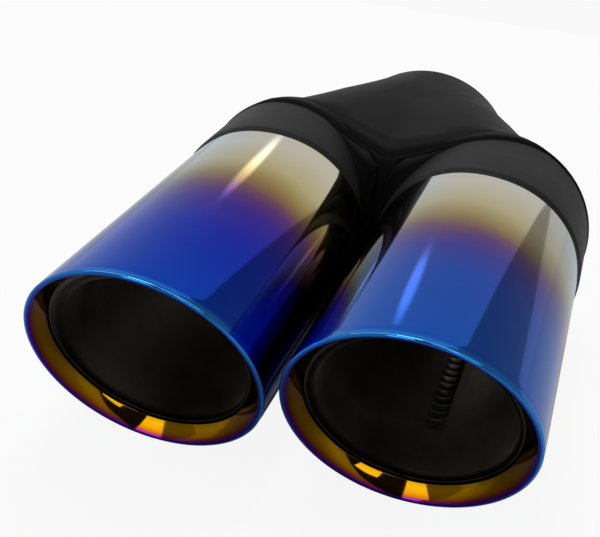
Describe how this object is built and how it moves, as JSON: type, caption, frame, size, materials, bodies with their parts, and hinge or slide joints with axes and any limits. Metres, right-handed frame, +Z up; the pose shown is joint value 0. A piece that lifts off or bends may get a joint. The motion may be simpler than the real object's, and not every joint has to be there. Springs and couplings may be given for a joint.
{
  "type": "twin exhaust tip",
  "caption": "Slash-cut double-wall exhaust tips with rolled, heat-tinted mouths, welded side by side to a black pressed Y collector with one inlet pipe.",
  "frame": {"origin": "centre of the inlet pipe's open end", "axes": "+X to the right tip, +Y out of the inlet pipe towards the car's tail pipe, +Z up; the mouths face -Y"},
  "size_m": [0.186, 0.3196, 0.0932],
  "materials": {
    "heat_tinted_steel": "mirror-polished stainless steel, heat-tinted from straw at the collar through purple to blue at the mouth",
    "liner_steel": "dull dark steel",
    "weld_bead": "rippled weld bead",
    "collar_paint": "satin black heat-resistant paint",
    "black_paint": "matt black heat-resistant paint"
  },
  "bodies": {
    "root": {"left_tip": "heat_tinted_steel", "right_tip": "heat_tinted_steel", "left_liner": "liner_steel", "right_liner": "liner_steel", "left_liner_seam": "weld_bead", "right_liner_seam": "weld_bead", "left_rear_ring": "liner_steel", "right_rear_ring": "liner_steel", "left_collar": "collar_paint", "right_collar": "collar_paint", "upper_shell": "black_paint", "lower_shell": "black_paint", "left_side_weld": "black_paint", "right_side_weld": "black_paint", "inlet_pipe": "black_paint", "inlet_weld": "black_paint"}
  },
  "joints": []
}
